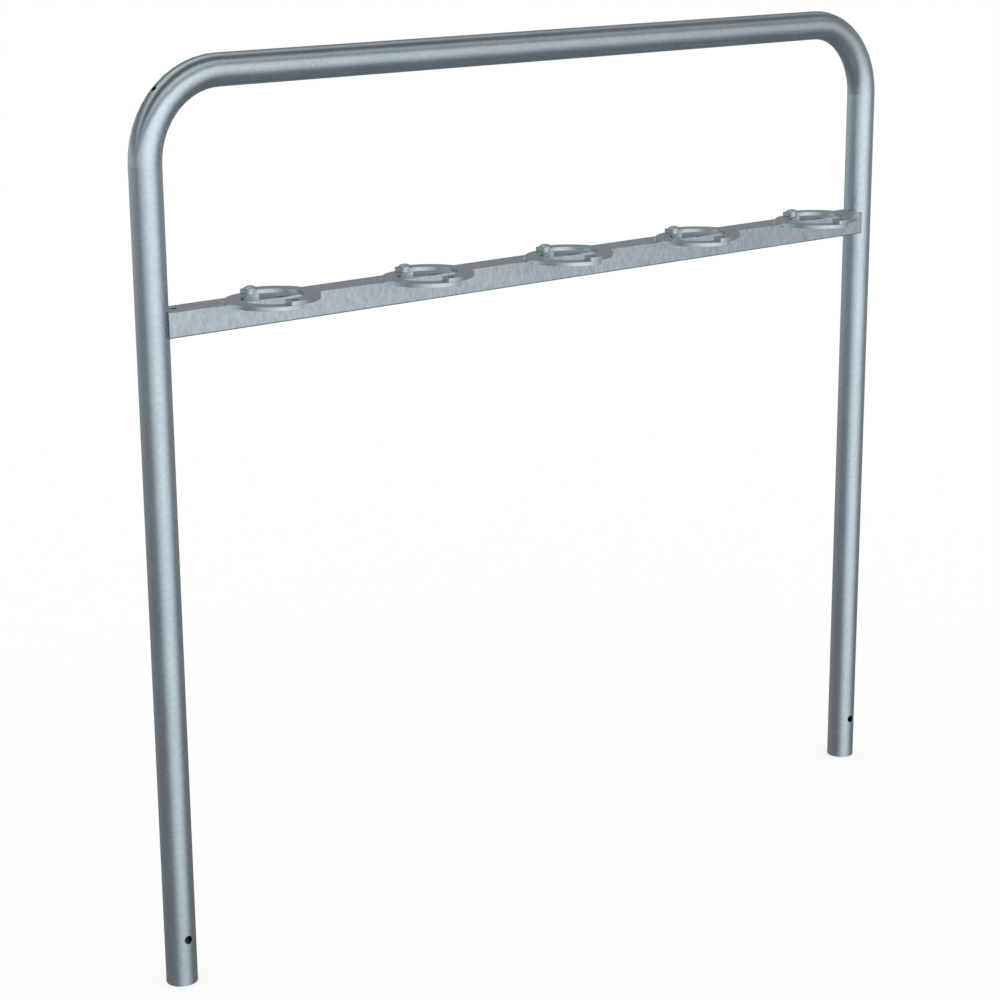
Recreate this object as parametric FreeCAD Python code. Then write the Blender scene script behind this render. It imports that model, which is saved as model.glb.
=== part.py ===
import FreeCAD, Part
import math
import os

# Hoop rack with five hinged locking rings on a crossbar. Millimetres, +Z up, X along the hoop.
# The rings stand out towards -Y. The origin lies midway between the two leg ends, in the plane
# that both are cut to.

# Hoop: one round tube, bent twice
TUBE_OD = 50.0
TUBE_WALL = 2.5
LEG_SPACING = 1530.0
HOOP_HEIGHT = 1450.0
BEND_RADIUS = 130.0
ANCHOR_HOLE_D = 14.0
ANCHOR_HOLE_Z = 78.0
BEND_VENT_D = 9.0
BEND_VENT_ANGLE = 45.0

# Crossbar: rectangular tube between the legs
BAR_DEPTH = 50.0
BAR_HEIGHT = 40.0
BAR_WALL = 3.0
BAR_DROP = 370.0
BAR_CORNER_R = 2.5
BAR_INSIDE_CORNER_R = 1.0
BAR_ROOT_GAP = 0.5
BAR_VENT_D = 10.0
BAR_VENT_INSET = 12.5
END_WELD_TOE_ANGLE = 56.0
END_WELD_ROOT_ANGLE = 18.0

# Locking rings: a fixed plate below, open to the right, and a swinging jaw above, which closes
# it. Each is a flat C. Angles run from +X round a ring's centre. The jaw's ends reach past the
# pivot and the padlock hole.
RING_COUNT = 5
RING_PITCH = 295.0
RING_OUTER_R = 72.5
RING_INNER_R = 47.5
RING_Y = -59.5
PLATE_THICKNESS = 6.5
PLATE_EDGE_R = 0.2
PIVOT_ANGLE = 90.0
PADLOCK_ANGLE = -91.5
PLATE_REAR_ANGLE = 82.0
PLATE_FRONT_ANGLE = 276.0
JAW_END_REACH = 12.5
JAW_INNER_CORNER_R = 8.0
JAW_OUTER_CORNER_R = 3.0
PADLOCK_HOLE_D = 11.0
PADLOCK_EDGE_R = 0.4

# Pivot: a round-head rivet through both plates
SHANK_R = 5.0
RUNNING_CLEARANCE = 0.05
AXIAL_PLAY = 0.05
HEAD_R = 10.0
HEAD_HEIGHT = 5.2
HEAD_LAND = 1.9
TAIL_DEPTH = 2.0

# Weld beads that hold each fixed plate on the bar
BEAD_LEG = 4.0
BEAD_BULGE = 0.5
BEAD_MARGIN = 2.0
FRONT_BEAD_LENGTH = 16.0
BACK_BEAD_START = 104.0
BACK_BEAD_END = 134.0

# Worked out from the values above
TUBE_R = TUBE_OD / 2
LEG_X = LEG_SPACING / 2
AXIS_TOP_Z = HOOP_HEIGHT - TUBE_R
BAR_TOP_Z = HOOP_HEIGHT - BAR_DROP
BAR_END_X = LEG_X - TUBE_R - BAR_ROOT_GAP
BAR_BOTTOM_Z = BAR_TOP_Z - BAR_HEIGHT
BAR_MID_Z = BAR_TOP_Z - BAR_HEIGHT / 2
BAND_MID_R = (RING_OUTER_R + RING_INNER_R) / 2
BORE_R = SHANK_R + RUNNING_CLEARANCE
PLATE_Z = BAR_TOP_Z
JAW_Z = PLATE_Z + PLATE_THICKNESS + AXIAL_PLAY
HEAD_Z = JAW_Z + PLATE_THICKNESS + AXIAL_PLAY

UP = FreeCAD.Vector(0, 0, 1)
ALONG_X = FreeCAD.Vector(1, 0, 0)
ALONG_Y = FreeCAD.Vector(0, 1, 0)
OUT = "parts"


def vec(x, y, z=0.0):
    return FreeCAD.Vector(x, y, z)


def polar(radius, degrees):
    """Point in a ring's plan, measured from the ring's centre, 0 degrees along +X."""
    angle = math.radians(degrees)
    return vec(radius * math.cos(angle), radius * math.sin(angle))


def arc(start, middle, end):
    return Part.Arc(start, middle, end).toShape()


def line(start, end):
    return Part.LineSegment(start, end).toShape()


def hoop_rod(radius):
    """Solid rod along the tube's centre line: up one leg, over the top and down the other."""
    turn = AXIS_TOP_Z - BEND_RADIUS
    reach = LEG_X - BEND_RADIUS
    slant = BEND_RADIUS * math.sin(math.radians(45))
    path = Part.Wire([
        line(vec(-LEG_X, 0, 0), vec(-LEG_X, 0, turn)),
        arc(vec(-LEG_X, 0, turn), vec(-reach - slant, 0, turn + slant), vec(-reach, 0, AXIS_TOP_Z)),
        line(vec(-reach, 0, AXIS_TOP_Z), vec(reach, 0, AXIS_TOP_Z)),
        arc(vec(reach, 0, AXIS_TOP_Z), vec(reach + slant, 0, turn + slant), vec(LEG_X, 0, turn)),
        line(vec(LEG_X, 0, turn), vec(LEG_X, 0, 0)),
    ])
    section = Part.Wire([Part.makeCircle(radius, vec(-LEG_X, 0, 0), UP)])
    return path.makePipeShell([section], True, False)


def hoop_tube():
    tube = hoop_rod(TUBE_R).cut(hoop_rod(TUBE_R - TUBE_WALL))
    for side in (-1, 1):
        start = vec(side * LEG_X, -TUBE_OD, ANCHOR_HOLE_Z)
        tube = tube.cut(Part.makeCylinder(ANCHOR_HOLE_D / 2, 2 * TUBE_OD, start, ALONG_Y))
        lean = math.radians(BEND_VENT_ANGLE)
        outward = vec(side * math.cos(lean), 0, math.sin(lean))
        bend_centre = vec(side * (LEG_X - BEND_RADIUS), 0, AXIS_TOP_Z - BEND_RADIUS)
        start = bend_centre + outward * BEND_RADIUS
        tube = tube.cut(Part.makeCylinder(BEND_VENT_D / 2, TUBE_OD, start, outward))
    return tube


def bar_outline(end_x):
    """The bar's outer form as a solid block that reaches end_x on both sides."""
    block = Part.makeBox(2 * end_x, BAR_DEPTH, BAR_HEIGHT, vec(-end_x, -BAR_DEPTH / 2, BAR_BOTTOM_Z))
    return rounded_along_x(block, BAR_CORNER_R)


def rounded_along_x(block, radius):
    long_edges = []
    for edge in block.Edges:
        if abs(edge.tangentAt(edge.FirstParameter).dot(ALONG_X)) > 0.99:
            long_edges.append(edge)
    return block.makeFillet(radius, long_edges)


def crossbar():
    bar = bar_outline(BAR_END_X)
    hollow = Part.makeBox(
        2 * LEG_X,
        BAR_DEPTH - 2 * BAR_WALL,
        BAR_HEIGHT - 2 * BAR_WALL,
        vec(-LEG_X, BAR_WALL - BAR_DEPTH / 2, BAR_BOTTOM_Z + BAR_WALL))
    bar = bar.cut(rounded_along_x(hollow, BAR_INSIDE_CORNER_R))
    for side in (-1, 1):
        start = vec(side * (BAR_END_X - BAR_VENT_INSET), 0, BAR_MID_Z)
        bar = bar.cut(Part.makeCylinder(BAR_VENT_D / 2, BAR_HEIGHT, start, UP))
    return bar


def bar_end_weld(side):
    """Weld metal between the bar's square end and the round leg, dressed flush with the bar."""
    leg = Part.makeCylinder(TUBE_R, HOOP_HEIGHT, vec(side * LEG_X, 0, 0))
    toe_x = LEG_X - TUBE_R * math.cos(math.radians(END_WELD_TOE_ANGLE))
    root_y = TUBE_R * math.sin(math.radians(END_WELD_ROOT_ANGLE))
    limit = bar_outline(LEG_X)
    wedges = []
    for face in (-1, 1):
        near_x = min(side * BAR_END_X, side * toe_x)
        near_y = min(face * root_y, face * BAR_DEPTH / 2)
        corner = vec(near_x, near_y, BAR_BOTTOM_Z)
        block = Part.makeBox(toe_x - BAR_END_X, BAR_DEPTH / 2 - root_y, BAR_HEIGHT, corner)
        wedges += block.cut(leg).common(limit).Solids
    return Part.makeCompound(wedges)


def rim_point(radius, degrees, beyond):
    """Point on a rim, a given distance past the radial line at an angle, positive turning left."""
    along = polar(math.sqrt(radius ** 2 - beyond ** 2), degrees)
    return along + polar(beyond, degrees + 90)


def flat_c(start, end, reach):
    """Flat C from one angle round to a larger one, its two ends cut square that far past them."""
    halfway = (start + end) / 2
    outer = [rim_point(RING_OUTER_R, start, -reach), rim_point(RING_OUTER_R, end, reach)]
    inner = [rim_point(RING_INNER_R, start, -reach), rim_point(RING_INNER_R, end, reach)]
    outline = Part.Wire([
        arc(outer[0], polar(RING_OUTER_R, halfway), outer[1]),
        line(outer[1], inner[1]),
        arc(inner[1], polar(RING_INNER_R, halfway), inner[0]),
        line(inner[0], outer[0]),
    ])
    return Part.Face(outline).extrude(vec(0, 0, PLATE_THICKNESS))


def rounded_corners(blank):
    """Jaw blank with its four end corners rounded, the inner ones more than the outer ones."""
    for rim, radius in ((RING_INNER_R, JAW_INNER_CORNER_R), (RING_OUTER_R, JAW_OUTER_CORNER_R)):
        corners = []
        for edge in blank.Edges:
            upright = abs(edge.tangentAt(edge.FirstParameter).z) > 0.99
            foot = edge.Vertexes[0].Point
            if upright and abs(math.hypot(foot.x, foot.y) - rim) < 1e-6:
                corners.append(edge)
        blank = blank.makeFillet(radius, corners)
    return blank


def face_edges(plate):
    """Edges that lie flat in the plate's upper or lower face."""
    found = []
    for edge in plate.Edges:
        box = edge.BoundBox
        level = box.ZMax - box.ZMin < 1e-6
        on_face = abs(box.ZMin) < 1e-6 or abs(box.ZMin - PLATE_THICKNESS) < 1e-6
        if level and on_face:
            found.append(edge)
    return found


def finished(blank):
    """Plate with its edges eased and its padlock hole and pivot bore cut."""
    blank = blank.makeFillet(PLATE_EDGE_R, face_edges(blank))
    hole = Part.makeCylinder(PADLOCK_HOLE_D / 2, PLATE_THICKNESS, polar(BAND_MID_R, PADLOCK_ANGLE))
    blank = blank.cut(hole)
    rims = []
    for edge in face_edges(blank):
        round_edge = isinstance(edge.Curve, Part.Circle)
        if round_edge and abs(edge.Curve.Radius - PADLOCK_HOLE_D / 2) < 1e-6:
            rims.append(edge)
    blank = blank.makeFillet(PADLOCK_EDGE_R, rims)
    return blank.cut(Part.makeCylinder(BORE_R, PLATE_THICKNESS, polar(BAND_MID_R, PIVOT_ANGLE)))


def ring_plate():
    plate = finished(flat_c(PLATE_REAR_ANGLE, PLATE_FRONT_ANGLE, 0))
    seat = Part.makeCone(BORE_R + TAIL_DEPTH, BORE_R, TAIL_DEPTH, polar(BAND_MID_R, PIVOT_ANGLE))
    return plate.cut(seat)


def swing_jaw():
    return finished(rounded_corners(flat_c(PADLOCK_ANGLE, PIVOT_ANGLE, JAW_END_REACH)))


def pivot_rivet():
    """Domed head, shank and a countersunk tail that is flush with the plate's underside."""
    head = HEAD_Z - PLATE_Z
    rim = head + HEAD_LAND
    crown = head + HEAD_HEIGHT
    rise = crown - rim
    dome_r = (HEAD_R ** 2 + rise ** 2) / (2 * rise)
    half_angle = math.asin(HEAD_R / dome_r) / 2
    on_dome = vec(dome_r * math.sin(half_angle), 0, crown - dome_r + dome_r * math.cos(half_angle))
    outline = Part.Wire([
        line(vec(0, 0, 0), vec(SHANK_R + TAIL_DEPTH, 0, 0)),
        line(vec(SHANK_R + TAIL_DEPTH, 0, 0), vec(SHANK_R, 0, TAIL_DEPTH)),
        line(vec(SHANK_R, 0, TAIL_DEPTH), vec(SHANK_R, 0, head)),
        line(vec(SHANK_R, 0, head), vec(HEAD_R, 0, head)),
        line(vec(HEAD_R, 0, head), vec(HEAD_R, 0, rim)),
        arc(vec(HEAD_R, 0, rim), on_dome, vec(0, 0, crown)),
        line(vec(0, 0, crown), vec(0, 0, 0)),
    ])
    rivet = Part.Face(outline).revolve(vec(0, 0, 0), UP, 360)
    rivet.translate(polar(BAND_MID_R, PIVOT_ANGLE))
    return rivet


def bead_face(start, end):
    """The bulged face of a fillet weld, between its two toes."""
    chord = end - start
    normal = chord.cross(ALONG_X)
    normal.normalize()
    return arc(start, (start + end) / 2 + normal * BEAD_BULGE, end)


def back_bead():
    """Bead on the bar's top, along the plate's outer edge behind the ring."""
    heel = vec(0, RING_OUTER_R, 0)
    low = heel + vec(0, BEAD_LEG, 0)
    high = heel + vec(0, 0, BEAD_LEG)
    section = Part.Face(Part.Wire([line(heel, low), bead_face(low, high), line(high, heel)]))
    bead = section.revolve(vec(0, 0, 0), UP, BACK_BEAD_END - BACK_BEAD_START)
    bead.rotate(vec(0, 0, 0), UP, BACK_BEAD_START - 90)
    return bead


def front_bead():
    """Bead under the plate, in the corner that it makes with the bar's front face."""
    front = -BAR_DEPTH / 2 - RING_Y
    lip = front - BEAD_LEG
    flat = front + BAR_CORNER_R
    low = -BAR_CORNER_R - BEAD_LEG
    near_x = math.sqrt(RING_INNER_R ** 2 - lip ** 2) + BEAD_MARGIN
    far_x = near_x + FRONT_BEAD_LENGTH
    turn = BAR_CORNER_R * (1 - math.sin(math.radians(45)))
    section = Part.Face(Part.Wire([
        line(vec(-far_x, flat, 0), vec(-far_x, lip, 0)),
        bead_face(vec(-far_x, lip, 0), vec(-far_x, front, low)),
        line(vec(-far_x, front, low), vec(-far_x, front, -BAR_CORNER_R)),
        arc(vec(-far_x, front, -BAR_CORNER_R), vec(-far_x, front + turn, -turn), vec(-far_x, flat, 0)),
    ]))
    return section.extrude(vec(far_x - near_x, 0, 0))


def plate_weld():
    return Part.makeCompound([back_bead(), front_bead()])


def place(shape, index, z):
    """Copy of a ring piece at its ring on the bar, counted from the left."""
    x = (index - (RING_COUNT - 1) / 2) * RING_PITCH
    moved = shape.copy()
    moved.translate(vec(x, RING_Y, z))
    return moved


def save(name, shape):
    solids = shape.Solids
    if not shape.isValid() or not solids:
        raise ValueError(name + " is not a sound solid")
    if len(solids) == 1:
        shape = solids[0]
    shape.exportStep(os.path.join(OUT, name + ".step"))
    box = shape.BoundBox
    print(
        f"{name:16s} solids {len(solids)}  volume {shape.Volume:10.1f}"
        f"  x {box.XMin:8.2f} {box.XMax:8.2f}  y {box.YMin:8.2f} {box.YMax:8.2f}"
        f"  z {box.ZMin:8.2f} {box.ZMax:8.2f}")


def build():
    os.makedirs(OUT, exist_ok=True)
    save("hoop_tube", hoop_tube())
    save("crossbar", crossbar())
    save("bar_weld_left", bar_end_weld(-1))
    save("bar_weld_right", bar_end_weld(1))
    ring_pieces = (
        ("ring_plate", ring_plate(), PLATE_Z),
        ("plate_weld", plate_weld(), PLATE_Z),
        ("swing_jaw", swing_jaw(), JAW_Z),
        ("pivot_rivet", pivot_rivet(), PLATE_Z),
    )
    for name, shape, z in ring_pieces:
        for index in range(RING_COUNT):
            save(f"{name}_{index + 1}", place(shape, index, z))


build()
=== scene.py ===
import math
import bmesh
import bpy
from mathutils import Matrix, Vector

# Looks of a galvanised hoop rack with five hinged locking rings. Metres, in the part's own frame:
# Z up, X along the hoop, the rings towards -Y, the origin between the two leg ends.

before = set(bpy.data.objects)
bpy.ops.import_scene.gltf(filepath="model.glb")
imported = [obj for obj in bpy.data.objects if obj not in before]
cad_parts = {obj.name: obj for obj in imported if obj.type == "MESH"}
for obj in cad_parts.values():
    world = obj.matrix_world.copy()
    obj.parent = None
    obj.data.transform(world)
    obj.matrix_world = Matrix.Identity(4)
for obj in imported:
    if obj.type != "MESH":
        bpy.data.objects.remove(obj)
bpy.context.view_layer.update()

RINGS = range(1, 6)

# Camera: where it stands, how far it is turned in radians, how far it sees, and its lens
CAMERA_AT = (-2.58684, -3.02379, 1.73754)
CAMERA_YAW = 0.687769
CAMERA_PITCH = 0.265421
CAMERA_ROLL = 0.007358
CAMERA_REACH = 100.0
SENSOR_MM = 36.0
LENS_MM = 2.4013 * SENSOR_MM

# Studio: a white room at a plain level, and a floor whose own glow brings it up to white
WHITE = (1.0, 1.0, 1.0, 1.0)
ROOM_LIGHT = 1.0
GLOSSY_BOUNCES = 2
FLOOR_SIZE = 60.0
FLOOR_TONE = 0.30
FLOOR_GLOW = 1.0 - FLOOR_TONE

# Graded screen round the rack. It has ROUND_TONES where a direction's X is BRIGHT_SIDE, and they
# give way to SIDE_TONES with the square of the distance from there.
SCREEN_R = 25.0
SCREEN_CENTRE = (0.0, 0.0, 0.8)
BRIGHT_SIDE = -0.12

# How much light the screen lets through. Angles are in degrees and start straight down.
# Round the rack's long way, with the front at 0, the top at 90 and the back at 180: a dark floor,
# a tall window in front, two long strip lights overhead and a horizon behind.
# Towards the rack's two ends, by height: a faint horizon.
DOWN = -90
ROUND_TONES = (
    (-90, 0.14), (-52, 0.20), (-38, 0.35), (-22, 0.70), (2, 1.0), (24, 1.0), (37, 0.47), (45, 0.38),
    (60, 0.66), (68, 0.50), (79, 0.13), (99, 0.12), (110, 0.48), (120, 0.68), (128, 0.50),
    (142, 0.22), (152, 0.17), (162, 0.20), (171, 0.30), (178, 0.47), (184, 0.42), (195, 0.24),
    (215, 0.15), (270, 0.14))
SIDE_TONES = (
    (-90, 0.12), (-38, 0.135), (-20, 0.185), (-4, 0.28), (6, 0.26), (18, 0.23), (32, 0.19),
    (55, 0.14), (90, 0.13))

# Zinc: its level, how far each pattern lightens or darkens it, and how fine the patterns are.
# A noise runs mostly between the two values of NOISE_SPAN. Scales count cells per metre.
ZINC_LEVEL = 0.99
NOISE_SPAN = (0.3, 0.7)
CLOUD_SCALE = 14.0
CLOUD_DEPTH = 0.03
BLOTCHES_PER_CRYSTAL = 0.6
GRAIN_SCALE = 420.0
GRAIN_DEPTH = 0.04
SMOOTHEST_CRYSTAL = -0.02
ROUGHEST_CRYSTAL = 0.04
CLOUD_ROUGHNESS = 0.02
BUMP_STRENGTH = 0.06
BUMP_HEIGHT = 0.0005

# The zinc on each kind of steel: its colour, and for the bar and its end welds the whole finish.
# The end welds carry painted shade: they are darker where they face along the hoop, standing in for the
# shade where they meet the legs.
TUBE_COLOUR = (0.70, 0.825, 0.915)
PLATE_COLOUR = (0.70, 0.81, 0.89)
WELD_COLOUR = (0.69, 0.79, 0.86)
BAR_COLOUR = (0.742, 0.852, 0.93)
BAR_FINISH = {
    "colour": BAR_COLOUR, "roughness": 0.28, "crystal": 0.0035, "stretch": 0.45, "mottle": 0.09}
# Painted shade on the end welds' faces that look along the hoop, where they meet the legs
END_WELD_PAINTED_SHADE = 0.6


def stand_camera():
    """Camera at the photograph's angle. Yaw turns from +Y towards +X, pitch looks down."""
    cos_yaw, sin_yaw = math.cos(CAMERA_YAW), math.sin(CAMERA_YAW)
    cos_pitch, sin_pitch = math.cos(CAMERA_PITCH), math.sin(CAMERA_PITCH)
    cos_roll, sin_roll = math.cos(CAMERA_ROLL), math.sin(CAMERA_ROLL)
    forward = Vector((sin_yaw * cos_pitch, cos_yaw * cos_pitch, -sin_pitch))
    level = Vector((cos_yaw, -sin_yaw, 0.0))
    plumb = forward.cross(level)
    right = cos_roll * level + sin_roll * plumb
    down = cos_roll * plumb - sin_roll * level
    turn = Matrix((right, -down, -forward)).transposed()
    data = bpy.data.cameras.new("camera")
    data.lens = LENS_MM
    data.sensor_width = SENSOR_MM
    data.clip_end = CAMERA_REACH
    camera = bpy.data.objects.new("camera", data)
    camera.matrix_world = Matrix.Translation(CAMERA_AT) @ turn.to_4x4()
    bpy.context.scene.collection.objects.link(camera)
    bpy.context.scene.camera = camera


class Graph:
    """Short way to write a node tree: each call adds a node and links what it is given."""

    def __init__(self, owner):
        owner.use_nodes = True
        self.tree = owner.node_tree
        self.tree.nodes.clear()

    def add(self, kind, inputs=None, **settings):
        node = self.tree.nodes.new(kind)
        for name, value in settings.items():
            setattr(node, name, value)
        for key, value in (inputs or {}).items():
            socket = node.inputs[key]
            if isinstance(value, bpy.types.NodeSocket):
                self.tree.links.new(value, socket)
            else:
                socket.default_value = value
        return node

    def math(self, operation, a, b=0.0):
        return self.add("ShaderNodeMath", {0: a, 1: b}, operation=operation).outputs[0]

    def along(self, vector, direction):
        """How far a vector reaches in a direction."""
        product = self.add("ShaderNodeVectorMath", {0: vector, 1: direction}, operation="DOT_PRODUCT")
        return product.outputs["Value"]

    def remap(self, value, low, high, to_low=0.0, to_high=1.0):
        ends = {"From Min": low, "From Max": high, "To Min": to_low, "To Max": to_high}
        return self.add("ShaderNodeMapRange", {"Value": value, **ends}).outputs[0]

    def noise(self, place, scale, detail):
        inputs = {"Vector": place, "Scale": scale, "Detail": detail}
        return self.add("ShaderNodeTexNoise", inputs).outputs[0]

    def swing(self, pattern, depth):
        """A noise pattern as a change of up to depth either way."""
        return self.remap(pattern, *NOISE_SPAN, -depth, depth)

    def ramp(self, value, stops, span):
        """Grey ramp for a value from 0 to 1, with stops in degrees over a span that starts DOWN."""
        node = self.add("ShaderNodeValToRGB", {"Fac": value})
        points = node.color_ramp.elements
        while len(points) < len(stops):
            points.new(0.5)
        for point, (angle, tone) in zip(points, stops):
            point.position = (angle - DOWN) / span
            point.color = (tone, tone, tone, 1.0)
        return node.outputs["Color"]

    def blend(self, share, first, second):
        """Two colours mixed, the second by its share. The numbers are the node's colour sockets."""
        mix = self.add("ShaderNodeMix", {"Factor": share, 6: first, 7: second}, data_type="RGBA")
        return mix.outputs[2]


def stage_piece(name, shape, material):
    """Mesh object of the studio, which isn't part of the rack."""
    mesh = bpy.data.meshes.new(name)
    shape.to_mesh(mesh)
    shape.free()
    mesh.materials.append(material)
    piece = bpy.data.objects.new(name, mesh)
    bpy.context.scene.collection.objects.link(piece)
    return piece


def light_room():
    """White room, for the camera, for mirrored light and for the light on the rack."""
    world = bpy.data.worlds.new("white_room")
    bpy.context.scene.world = world
    world.cycles.sampling_method = "NONE"
    g = Graph(world)
    white = g.add("ShaderNodeBackground", {"Color": WHITE, "Strength": ROOM_LIGHT})
    g.add("ShaderNodeOutputWorld", {"Surface": white.outputs[0]})


def lay_floor():
    """Plain white floor that keeps a faint shadow of the rack. The metal doesn't mirror it."""
    material = bpy.data.materials.new("floor")
    g = Graph(material)
    seen = g.add("ShaderNodeLightPath").outputs["Is Camera Ray"]
    glow = g.add("ShaderNodeEmission", {"Strength": g.math("MULTIPLY", seen, FLOOR_GLOW)})
    matt = g.add("ShaderNodeBsdfDiffuse", {"Color": (FLOOR_TONE, FLOOR_TONE, FLOOR_TONE, 1.0)})
    both = g.add("ShaderNodeAddShader", {0: glow.outputs[0], 1: matt.outputs[0]})
    g.add("ShaderNodeOutputMaterial", {"Surface": both.outputs[0]})
    shape = bmesh.new()
    bmesh.ops.create_grid(shape, x_segments=1, y_segments=1, size=FLOOR_SIZE / 2)
    floor = stage_piece("floor", shape, material)
    floor.visible_glossy = False


def hang_screen():
    """Graded screen round the rack. It dims the white room only in what the metal mirrors."""
    material = bpy.data.materials.new("graded_screen")
    g = Graph(material)
    place = g.add("ShaderNodeTexCoord").outputs["Object"]
    way = g.add("ShaderNodeVectorMath", {0: place}, operation="NORMALIZE").outputs[0]
    aside, back, up = [g.along(way, axis) for axis in ((1, 0, 0), (0, 1, 0), (0, 0, 1))]
    turn = g.remap(g.math("ARCTAN2", back, up), -math.pi, math.pi)
    height = g.remap(g.math("ARCSINE", up), -math.pi / 2, math.pi / 2)
    off_bright = g.math("SUBTRACT", aside, BRIGHT_SIDE)
    to_side = g.math("MULTIPLY", off_bright, off_bright)
    tone = g.blend(to_side, g.ramp(turn, ROUND_TONES, 360), g.ramp(height, SIDE_TONES, 180))
    clear = g.add("ShaderNodeBsdfTransparent", {"Color": tone})
    g.add("ShaderNodeOutputMaterial", {"Surface": clear.outputs[0]})
    shape = bmesh.new()
    bmesh.ops.create_icosphere(shape, subdivisions=4, radius=SCREEN_R)
    screen = stage_piece("graded_screen", shape, material)
    screen.location = SCREEN_CENTRE
    screen.visible_camera = False
    screen.visible_diffuse = False
    screen.visible_transmission = False
    screen.visible_shadow = False


def galvanised(name, colour, roughness, crystal, stretch=1.0, mottle=0.04, painted_shade=0.0):
    """Hot-dip zinc: crystals, blotches, soft clouds and a faint grain.

    crystal is a crystal's width. A stretch below 1 draws the patterns out in height. mottle is how
    far crystals and blotches lighten or darken the zinc. painted_shade is how much painted shade darkens
    the faces that look along the hoop, for the shade in the crevice where a weld meets a leg.
    """
    material = bpy.data.materials.new(name)
    g = Graph(material)
    own = g.add("ShaderNodeTexCoord")
    drawn = g.add("ShaderNodeMapping", {"Vector": own.outputs["Object"], "Scale": (1.0, 1.0, stretch)})
    place = drawn.outputs[0]
    crystals = g.add("ShaderNodeTexVoronoi", {"Vector": place, "Scale": 1 / crystal}, feature="F1")
    spangle = g.add("ShaderNodeSeparateColor", {0: crystals.outputs["Color"]}).outputs[0]
    cloud = g.noise(place, CLOUD_SCALE, 4.0)
    blotch = g.noise(place, BLOTCHES_PER_CRYSTAL / crystal, 2.0)
    grain = g.noise(place, GRAIN_SCALE, 3.0)

    light = g.remap(spangle, 0, 1, ZINC_LEVEL - mottle, ZINC_LEVEL + mottle)
    for pattern, depth in ((cloud, CLOUD_DEPTH), (blotch, mottle), (grain, GRAIN_DEPTH)):
        light = g.math("ADD", light, g.swing(pattern, depth))
    # Painted shade: darkens the faces that look along the hoop, standing in for the shade in the crevice
    # where a weld meets a leg
    if painted_shade:
        endways = g.math("ABSOLUTE", g.along(own.outputs["Normal"], (1, 0, 0)))
        light = g.math("MULTIPLY", light, g.remap(endways, 0, 1, 1.0, 1.0 - painted_shade))
    zinc = g.add("ShaderNodeVectorMath", {0: colour, "Scale": light}, operation="SCALE")

    rough = g.remap(spangle, 0, 1, roughness + SMOOTHEST_CRYSTAL, roughness + ROUGHEST_CRYSTAL)
    rough = g.math("ADD", rough, g.swing(cloud, CLOUD_ROUGHNESS))
    bump = g.add("ShaderNodeBump", {"Height": grain, "Strength": BUMP_STRENGTH, "Distance": BUMP_HEIGHT})
    metal = g.add("ShaderNodeBsdfPrincipled", {
        "Base Color": zinc.outputs[0], "Metallic": 1.0, "Roughness": rough, "Normal": bump.outputs[0]})
    g.add("ShaderNodeOutputMaterial", {"Surface": metal.outputs[0]})
    return material


def dress(node, material):
    """Give a piece of the rack its finish."""
    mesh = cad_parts[node].data
    mesh.materials.clear()
    mesh.materials.append(material)


stand_camera()
light_room()
lay_floor()
hang_screen()

tube_zinc = galvanised("tube_zinc", TUBE_COLOUR, roughness=0.17, crystal=0.004)
bar_zinc = galvanised("bar_zinc", **BAR_FINISH)
# The end welds get painted shade on their faces along the hoop
end_weld_zinc = galvanised("end_weld_zinc", **BAR_FINISH, painted_shade=END_WELD_PAINTED_SHADE)
plate_zinc = galvanised("plate_zinc", PLATE_COLOUR, roughness=0.24, crystal=0.004)
weld_zinc = galvanised("weld_zinc", WELD_COLOUR, roughness=0.34, crystal=0.003)
pivot_zinc = galvanised("pivot_zinc", PLATE_COLOUR, roughness=0.22, crystal=0.003)

dress("hoop_tube", tube_zinc)
dress("crossbar", bar_zinc)
dress("bar_weld_left", end_weld_zinc)
dress("bar_weld_right", end_weld_zinc)
for n in RINGS:
    dress(f"ring_plate_{n}", plate_zinc)
    dress(f"swing_jaw_{n}", plate_zinc)
    dress(f"plate_weld_{n}", weld_zinc)
    dress(f"pivot_rivet_{n}", pivot_zinc)

bpy.context.scene.view_settings.view_transform = "Standard"
bpy.context.scene.cycles.glossy_bounces = GLOSSY_BOUNCES
